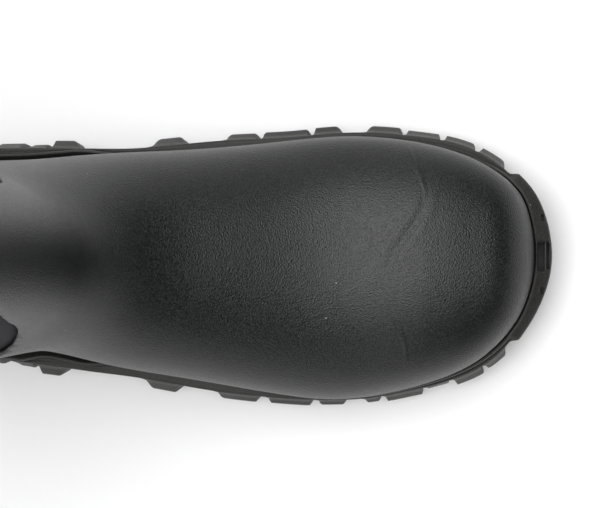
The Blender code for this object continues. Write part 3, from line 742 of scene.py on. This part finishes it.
LUG_SLOPE = 0.0052  # greatest width of a side lug's rounded flank
SHORT_SLOPE = 0.40  # the same as a share of the lug's length
GAP_SLOPE = 0.7  # the same as a share of the gap beside the lug
FLANK_OUTSIDE = 0.3  # share of a flank that lies outside the lug's own length
TREAD_BEVEL = 0.0014  # width of a lug's flank at the tread
CORNER_RADIUS = 0.0008  # of the profile's corners
CORNER_SHARE = 0.3  # most that a corner takes of the profile's step beside it
TIGHT_GAP = 0.0004  # between the rim and the upper round the forefoot
GAP_OPENS = (0.36, 0.45)  # the gap widens towards the heel between these shares of the last
UPPER_SEEN = 0.11  # the part of the upper below this height hides the rim from above
GAP_SEEN = 0.0012  # width of the dark gap that shows from above behind the instep
SEEN_FROM = (0.02, 0.12)  # that gap opens between these shares of the last
SEEN_TO = (0.37, 0.43)  # and closes between these
SEEN_WIDTH = 0.0015  # how near a point of the upper must be to a station to hide it
BUMPER_TOP = 0.0014  # how far the bumper's top lies below the rim's
BUMPER_RIM = 0.0009  # thickness of the rim round the toe
RIM_FOOT = 0.4  # the rim's foot lies below the band's top by this share of the band's step
# Three levels of the side: below the shoulder, halfway down and at the tread's bevel
SIDE_DRAFTS = (0.3, 0.6, 0.8)  # shares of the draft between lugs
BEVEL_DRAFT = 0.7  # share of a lug's draft at the bevel
SHOULDER_REACH = 0.3  # share of a lug's reach below the shoulder
# Pockets in the bumper, in metres: from and to along the foot and across, and their floor
TOE_POCKETS = (
    (0.2726, 0.2757, -0.0076, 0.0046, 0.0210),
    (0.2763, 0.2776, -0.0067, 0.0046, 0.0240),
    (0.2740, 0.2753, 0.0132, 0.0160, 0.0280),
    (0.2738, 0.2752, -0.0168, -0.0140, 0.0280),
)


def ground(share):
    """Height of the tread above the floor: flat under heel and ball."""
    waist = smooth_step(share, *WAIST_START) * (1 - smooth_step(share, *WAIST_END))
    toe = np.clip((share - TOE_SPRING_START) / (1 - TOE_SPRING_START), 0, 1) ** 2
    heel = np.clip(1 - share / HEEL_BEVEL_END, 0, 1)
    return WAIST_LIFT * waist + TOE_SPRING * toe + HEEL_BEVEL * heel


def lug_amount(way, lugs, edge, slope):
    """How far lugs stand out along a side, from 0 between lugs to each lug's own reach."""
    length = np.linalg.norm(np.diff(edge, axis=0), axis=1).sum()
    spans = np.array([(-1, TOE_LUG_END, 1), *lugs, (HEEL_LUG_START, 2, 1)])
    gaps = np.concatenate([[1], spans[1:, 0] - spans[:-1, 1], [1]])
    within = 1 - FLANK_OUTSIDE
    amount = np.zeros(len(way))
    for (start, end, reach), before, after in zip(spans, gaps, gaps[1:]):
        most = min(slope / length, SHORT_SLOPE * (end - start))
        up = min(most, GAP_SLOPE * before)
        down = min(most, GAP_SLOPE * after)
        rise = smooth_step(way, start - FLANK_OUTSIDE * up, start + within * up)
        fall = 1 - smooth_step(way, end - within * down, end + FLANK_OUTSIDE * down)
        amount = np.maximum(amount, rise * fall * reach)
    return amount


def overhang(point, out, height):
    """How far the form reaches out past points of the feather line at a height."""
    inside = LUG_INSET
    start = np.column_stack([point - out * inside, height])
    rays = np.column_stack([out, np.zeros(len(out))])
    return np.linalg.norm(march(start, rays) - start, axis=1) - inside


def seen_reach(point, out, height):
    """How far out from the feather line the upper hides a height from the camera."""
    eye = np.array(EYE)
    upper = CUTS[CUTS[..., 2] < UPPER_SEEN]
    reach = np.zeros(len(point))
    for i, (place, normal, level) in enumerate(zip(point, out, height)):
        ahead = (eye[2] - level) / (eye[2] - upper[:, 2])
        off = eye[:2] + (upper[:, :2] - eye[:2]) * ahead[:, None] - place
        near = np.abs(off[:, 0] * normal[1] - off[:, 1] * normal[0]) < SEEN_WIDTH
        reach[i] = np.max(off[near] @ normal, initial=0)
    return reach


def ring(medial, lateral):
    """Values along the medial side and back along the lateral side, as one ring."""
    return np.concatenate([medial, lateral[-2:0:-1]])


def stations(count):
    """Points round the feather line with their directions out, and the way along a side."""
    way = np.linspace(0, 1, count)
    medial, medial_out = side_point(MEDIAL_EDGE, way, 1)
    lateral, lateral_out = side_point(LATERAL_EDGE, way, -1)
    return ring(medial, lateral), ring(medial_out, lateral_out), way


def rounded(rings, radius):
    """The loft with the corners of its profile cut off."""
    made = [rings[0]]
    for before, here, after in zip(rings, rings[1:], rings[2:]):
        for other in (before, after):
            step = other - here
            length = np.linalg.norm(step, axis=1, keepdims=True)
            share = np.minimum(radius / np.maximum(length, 1e-9), CORNER_SHARE)
            made.append(here + step * share)
    made.append(rings[-1])
    return made


def ladder(count, start, flip):
    """Faces that close a ring across, from its medial points to its lateral ones."""
    half = count // 2
    rungs = [(i, (count - i) % count) for i in range(half + 1)]
    faces = []
    for (a, b), (c, d) in zip(rungs, rungs[1:]):
        face = [n + start for n in dict.fromkeys((a, c, d, b))]
        faces.append(tuple(face[::-1] if flip else face))
    return faces


def ring_faces(count, start):
    """Faces between a ring that starts at a number and the ring after it."""
    low = [start + i for i in range(count)]
    edges = zip(low, [*low[1:], start])
    return [(a, b, b + count, a + count) for a, b in edges]


def ringed(name, rings):
    """A closed solid lofted through rings of the same count, its ends closed across."""
    count = len(rings[0])
    faces = ladder(count, 0, True)
    for level in range(len(rings) - 1):
        faces += ring_faces(count, level * count)
    faces += ladder(count, (len(rings) - 1) * count, False)
    return mesh_piece(name, np.vstack(rings), faces)


def lug_rings(way):
    """The lugs round the sole: softly rounded ones of their own reach, and crisp even ones."""
    lugs = np.array(SIDE_LUGS)
    even_lugs = lugs.copy()
    even_lugs[:, [2, 5]] = 1
    amounts = []
    for rows, slope in ((lugs, LUG_SLOPE), (even_lugs, TREAD_BEVEL)):
        medial = lug_amount(way, rows[:, :3], MEDIAL_EDGE, slope)
        lateral = lug_amount(way, rows[:, 3:], LATERAL_EDGE, slope)
        amounts.append(ring(medial, lateral))
    return amounts


def sole_rings():
    """Rings of the outsole, from the footbed over the rim and band, down to the tread."""
    point, out, way = stations(SIDE_STATIONS)
    soft, crisp = lug_rings(way)
    share = along(point[:, 0])
    top = footbed(point[:, 0])
    rim = top + LIP_HEIGHT
    on_medial = np.arange(len(point)) < len(way)
    wide = np.where(on_medial, band_shape["medial"](share), band_shape["lateral"](share))
    bumper = 1 - smooth_step(ring(way, way), *BUMPER)
    opens = 1 - smooth_step(share, *GAP_OPENS)
    lip = np.maximum(overhang(point, out, rim), 0) + TIGHT_GAP + (LIP_GAP - TIGHT_GAP) * opens
    band = np.maximum(BAND_REACH * wide + LUG_REACH * bumper, lip + LIP_THICKNESS + BAND_WIDTH)
    # Where the dark gap shows, the rim moves out from behind the upper, but not past the band
    shown = seen_reach(point, out, rim) + GAP_SEEN
    shown = np.clip(shown, lip, band - LIP_THICKNESS - BAND_WIDTH)
    lip = lip + (shown - lip) * (1 - smooth_step(share, *SEEN_TO)) * smooth_step(share, *SEEN_FROM)
    stand = LUG_REACH * soft * (1 - bumper)
    lug = np.minimum(soft, 1)
    groove = ground(share) + TREAD_DEPTH
    tread = groove - TREAD_DEPTH * crisp
    gap = GROOVE_DRAFT * (1 - lug)
    draft = LUG_DRAFT * lug
    level = np.ones(len(point))
    ledge = top + BAND_STEP
    foot_of_rim = (ledge - BAND_STEP * RIM_FOOT) * (1 - bumper) + (rim - BUMPER_TOP) * bumper
    thick = LIP_THICKNESS + (BUMPER_RIM - LIP_THICKNESS) * bumper
    high, middle, low = SIDE_DRAFTS
    profile = (
        (FIT_GAP * level, top),
        (lip, rim - LIP_ROUNDING),
        (lip + thick / 2, rim),
        (lip + thick, rim - LIP_ROUNDING),
        (lip + thick + LIP_FLARE, foot_of_rim),
        (band - BAND_ROUNDING, ledge),
        (band, ledge - BAND_STEP / 2),
        (band - high * gap * (1 - bumper) + SHOULDER_REACH * stand, top - LUG_SHOULDER),
        (band - middle * gap + stand, (top + groove) / 2),
        (band - low * gap - BEVEL_DRAFT * draft + stand, tread + TREAD_EDGE),
        (band - gap - draft + stand, tread),
        (-LUG_INSET * level, tread),
        (-(LUG_INSET + LUG_BEVEL) * level, groove),
    )
    rings = [np.column_stack([point + out * away[:, None], z]) for away, z in profile]
    return rounded(rounded(rings, CORNER_RADIUS), CORNER_RADIUS / 3)


def make_centre_lug(share, span, sweep):
    """One lug of the tread's middle, from the tread up into the sole."""
    middle = share * LAST_LENGTH - HEEL_SEAT
    y = (half_width(MEDIAL_EDGE, middle) + half_width(LATERAL_EDGE, middle)) / 2
    half = span * BALL_WIDTH / 2
    back = sweep * CENTRE_LUG_LENGTH
    ahead = CENTRE_LUG_LENGTH / 2
    outline = [
        (middle + ahead, y),
        (middle + ahead - back, y + half),
        (middle - ahead - back, y + half),
        (middle - ahead, y),
        (middle - ahead - back, y - half),
        (middle + ahead - back, y - half),
    ]
    floors = ground(along(np.array(outline)[:, 0])) + TREAD_DEPTH
    return prism("lug", outline, float(ground(share)), float(floors.max()) + CENTRE_LUG_ROOT, 2)


def make_sole():
    sole = ringed("cup_sole", sole_rings())
    for row in CENTRE_LUGS:
        boolean(sole, make_centre_lug(*row), "UNION")
    for start, end, right, left, floor in TOE_POCKETS:
        outline = [(start, right), (end, right), (end, left), (start, left)]
        # The cutter reaches up to the instep's height, well above the bumper
        boolean(sole, prism("pocket", outline, floor, INSTEP_HEIGHT, 2), "DIFFERENCE")
    return sole


INSOLE_STATIONS = 90  # points along each side of the insole
# The insole's rounded edge: distance in from its outline, and height as a share of its own
INSOLE_EDGE = ((0.002, 1), (0.0006, 0.95), (0, 0.75), (0, 0))


def make_insole():
    inset = UPPER_WALL + FIT_GAP + BOOTIE_WALL + INSOLE_GAP
    point, out, _ = stations(INSOLE_STATIONS)
    bed = footbed(point[:, 0]) + FIT_GAP
    reach = np.minimum(overhang(point, out, bed + INSOLE_THICKNESS), 0) - inset
    rings = []
    for inward, height in INSOLE_EDGE:
        plan = point + out * (reach - inward)[:, None]
        rings.append(np.column_stack([plan, bed + INSOLE_THICKNESS * height]))
    return ringed("insole_sheet", rings)


# Materials. Lengths are in metres, and colours are linear.

COOL = (0.0, 0.0007, 0.0006)  # what is added to a grey, channel by channel
WARM = (0.0, -0.0006, -0.0018)
LINT_SPACING = 0.011
LINT = (0.30, 0.31, 0.31)
LINT_SIZE = (0.018, 0.026)  # a speck's solid middle and its edge, as shares of the spacing
CELL_SMOOTHNESS = 0.25  # of the pebble grain
WOBBLE_SCALE = 1.1  # size of the noise in the grain, against the grain's own scale
SPECKLE_SCALE = 0.9  # size of the noise in colour and roughness, against the grain's
BLOOM_SHARE = 0.25  # weight of the patches in the colour, where the speckle's is 1
BLOOM_STOPS = (0.52, 0.80)  # from the dark colour to the light one
ROUGH_STOPS = (0.35, 0.65)  # from the low roughness to the high one
WAVE_PERIOD = 0.32  # width of a band of the wave texture at scale 1
WAVE_DISTORTION = 1.5
WAVE_DETAIL_SCALE = 3
FUZZ_SCALE = 0.8  # size of the fuzz's noise, against the knit's pitch
KNIT_BUMP = 0.9  # strength of the knit's bump
KNIT_ROUGHNESS = 0.85
KNIT_GLOSS = 0.25
KNIT_STOPS = (0.35, 1.0)  # from the dark colour to the light one
FACTOR, COLOUR_A, COLOUR_B, COLOUR_OUT = 0, 6, 7, 2  # sockets of a Mix node set to colour


def nodes_of(name):
    """A new material, its node tree and its shader."""
    made = bpy.data.materials.new(name)
    made.use_nodes = True
    return made, made.node_tree, made.node_tree.nodes["Principled BSDF"]


def add(tree, kind, **values):
    """A new node, with values for its sockets or settings."""
    node = tree.nodes.new(kind)
    for key, value in values.items():
        if key in node.inputs:
            node.inputs[key].default_value = value
        else:
            setattr(node, key, value)
    return node


def ramp(tree, source, stops):
    """A colour ramp over a source, with grey or coloured stops."""
    stops = list(stops)
    node = tree.nodes.new("ShaderNodeValToRGB")
    tree.links.new(source, node.inputs["Fac"])
    elements = node.color_ramp.elements
    while len(elements) < len(stops):
        elements.new(0.5)
    for element, (place, colour) in zip(elements, stops):
        element.position = place
        grey = colour if isinstance(colour, tuple) else (colour,) * 3
        element.color = (*grey, 1)
    return node.outputs["Color"]


def bumped(tree, shader, height, strength, depth):
    """Gives the shader a bump from a node's value."""
    bump = add(tree, "ShaderNodeBump", Strength=strength, Distance=depth)
    tree.links.new(height.outputs["Value"], bump.inputs["Height"])
    tree.links.new(bump.outputs["Normal"], shader.inputs["Normal"])


def tinted(grey, tint):
    return tuple(max(grey + t, 0) for t in tint)


def grained(name, dark, light, tint, roughness, grain, depth, patches, gloss):
    """Moulded rubber: fine pebble grain, and patches of lighter, drier bloom."""
    made, tree, shader = nodes_of(name)
    place = tree.nodes.new("ShaderNodeTexCoord").outputs["Object"]
    cells = add(tree, "ShaderNodeTexVoronoi", feature="SMOOTH_F1", Scale=1 / grain)
    cells.inputs["Smoothness"].default_value = CELL_SMOOTHNESS
    wobble = add(tree, "ShaderNodeTexNoise", Scale=WOBBLE_SCALE / grain, Detail=2.0, Roughness=0.5)
    bloom = add(tree, "ShaderNodeTexNoise", Scale=patches, Detail=4.0, Roughness=0.62)
    for node in (cells, wobble, bloom):
        tree.links.new(place, node.inputs["Vector"])
    height = add(tree, "ShaderNodeMath", operation="ADD")
    tree.links.new(cells.outputs["Distance"], height.inputs[0])
    tree.links.new(wobble.outputs["Fac"], height.inputs[1])
    bumped(tree, shader, height, 1.0, depth)
    scale = SPECKLE_SCALE / grain
    speckle = add(tree, "ShaderNodeTexNoise", Scale=scale, Detail=1.0, Roughness=0.7)
    tree.links.new(place, speckle.inputs["Vector"])
    mixed = add(tree, "ShaderNodeMath", operation="MULTIPLY_ADD")
    mixed.inputs[1].default_value = BLOOM_SHARE
    tree.links.new(bloom.outputs["Fac"], mixed.inputs[0])
    tree.links.new(speckle.outputs["Fac"], mixed.inputs[2])
    colours = tinted(dark, tint), tinted(light, tint)
    colour = ramp(tree, mixed.outputs["Value"], zip(BLOOM_STOPS, colours))
    specks = add(tree, "ShaderNodeTexVoronoi", feature="F1", Scale=1 / LINT_SPACING)
    tree.links.new(place, specks.inputs["Vector"])
    lint = ramp(tree, specks.outputs["Distance"], zip(LINT_SIZE, (1.0, 0.0)))
    dusted = add(tree, "ShaderNodeMix", data_type="RGBA")
    tree.links.new(lint, dusted.inputs[FACTOR])
    tree.links.new(colour, dusted.inputs[COLOUR_A])
    dusted.inputs[COLOUR_B].default_value = (*LINT, 1)
    tree.links.new(dusted.outputs[COLOUR_OUT], shader.inputs["Base Color"])
    rough = ramp(tree, speckle.outputs["Fac"], zip(ROUGH_STOPS, roughness))
    tree.links.new(rough, shader.inputs["Roughness"])
    shader.inputs["Specular IOR Level"].default_value = gloss
    return made


def knitted(name, dark, light, pitch, depth):
    """Fine knit over foam: crossed ribs of loops with a slight fuzz."""
    made, tree, shader = nodes_of(name)
    place = tree.nodes.new("ShaderNodeTexCoord").outputs["Object"]
    waves = []
    for direction in ("Z", "DIAGONAL"):
        wave = add(tree, "ShaderNodeTexWave", Scale=WAVE_PERIOD / pitch)
        wave.bands_direction = direction
        wave.inputs["Distortion"].default_value = WAVE_DISTORTION
        wave.inputs["Detail Scale"].default_value = WAVE_DETAIL_SCALE
        tree.links.new(place, wave.inputs["Vector"])
        waves.append(wave)
    fuzz = add(tree, "ShaderNodeTexNoise", Scale=FUZZ_SCALE / pitch, Detail=3.0)
    tree.links.new(place, fuzz.inputs["Vector"])
    crossed = add(tree, "ShaderNodeMath", operation="MULTIPLY")
    tree.links.new(waves[0].outputs["Fac"], crossed.inputs[0])
    tree.links.new(waves[1].outputs["Fac"], crossed.inputs[1])
    height = add(tree, "ShaderNodeMath", operation="ADD")
    tree.links.new(crossed.outputs["Value"], height.inputs[0])
    tree.links.new(fuzz.outputs["Fac"], height.inputs[1])
    bumped(tree, shader, height, KNIT_BUMP, depth)
    colour = ramp(tree, height.outputs["Value"], zip(KNIT_STOPS, (dark, light)))
    tree.links.new(colour, shader.inputs["Base Color"])
    shader.inputs["Roughness"].default_value = KNIT_ROUGHNESS
    shader.inputs["Specular IOR Level"].default_value = KNIT_GLOSS
    return made


# The studio: a white floor, a large soft light overhead and softer ones at the sides

LIGHTS = (  # name, place, aim, size and power in watts
    ("overhead", (0.09, 0.12, 1.35), (0.12, 0.02, 0), (1.20, 1.20), 28),
    ("inner side", (0.15, 1.3, 0.45), (0.12, 0, 0.03), (1.2, 0.7), 4),
    ("outer side", (-0.15, -1.2, 0.60), (0.02, 0, 0.08), (0.8, 0.7), 4),
)
SKY_STRENGTH = 0.06
FLOOR_HALF = 3  # half the floor's side
FLOOR_COLOUR = (0.9, 0.9, 0.9, 1)
FLOOR_ROUGHNESS = 0.9


def make_camera():
    data = bpy.data.cameras.new("camera")
    data.sensor_width = SENSOR_WIDTH
    data.sensor_fit = "HORIZONTAL"
    data.lens = FOCAL_SHARE * data.sensor_width
    camera = bpy.data.objects.new("camera", data)
    bpy.context.scene.collection.objects.link(camera)
    back = (EYE - AIM).normalized()
    right = Vector((0, 1, 0)).cross(back).normalized()
    up = back.cross(right)
    turned_right = right * np.cos(ROLL) + up * np.sin(ROLL)
    turned_up = up * np.cos(ROLL) - right * np.sin(ROLL)
    rows = Matrix((turned_right, turned_up, back)).transposed().to_4x4()
    rows.translation = EYE
    camera.matrix_world = rows
    bpy.context.scene.camera = camera


def area_light(name, place, aim, size, power):
    data = bpy.data.lights.new(name, "AREA")
    data.shape = "RECTANGLE"
    data.size, data.size_y = size
    data.energy = power
    light = bpy.data.objects.new(name, data)
    bpy.context.scene.collection.objects.link(light)
    light.location = place
    light.rotation_euler = (Vector(place) - Vector(aim)).to_track_quat("Z", "Y").to_euler()


def make_studio():
    signs = ((-1, -1), (1, -1), (1, 1), (-1, 1))
    corners = [(x * FLOOR_HALF, y * FLOOR_HALF, 0) for x, y in signs]
    floor = mesh_piece("floor", corners, [(0, 1, 2, 3)])
    finish, _, shader = nodes_of("floor_paper")
    shader.inputs["Base Color"].default_value = FLOOR_COLOUR
    shader.inputs["Roughness"].default_value = FLOOR_ROUGHNESS
    floor.data.materials.append(finish)
    world = bpy.data.worlds.new("studio")
    bpy.context.scene.world = world
    world.use_nodes = True
    sky = world.node_tree.nodes["Background"]
    sky.inputs["Color"].default_value = (1, 1, 1, 1)
    sky.inputs["Strength"].default_value = SKY_STRENGTH
    for light in LIGHTS:
        area_light(*light)
    bpy.context.scene.view_settings.view_transform = "Standard"


def finishes():
    """The four materials: the upper's, the sole's, the bootie's and the insole's."""
    rubber = grained(
        "upper_rubber",
        dark=0.001,
        light=0.016,
        tint=COOL,
        roughness=(0.35, 0.47),
        grain=0.0006,
        depth=0.00013,
        patches=22,
        gloss=0.38,
    )
    moulded = grained(
        "outsole_rubber",
        dark=0.013,
        light=0.030,
        tint=WARM,
        roughness=(0.45, 0.60),
        grain=0.0006,
        depth=0.00006,
        patches=40,
        gloss=0.35,
    )
    neoprene = knitted(
        "neoprene",
        dark=(0.009, 0.009, 0.0115),
        light=(0.019, 0.019, 0.024),
        pitch=0.0012,
        depth=0.00012,
    )
    lining = knitted(
        "insole_fabric",
        dark=(0.03, 0.031, 0.036),
        light=(0.06, 0.062, 0.07),
        pitch=0.0016,
        depth=0.0002,
    )
    return rubber, moulded, neoprene, lining


def main():
    rubber, moulded, neoprene, lining = finishes()
    dress(make_upper(), "rubber_upper", rubber)
    dress(make_bootie(), "neoprene_bootie", neoprene)
    dress(make_sole(), "outsole", moulded)
    dress(make_insole(), "insole", lining)
    make_camera()
    make_studio()


main()
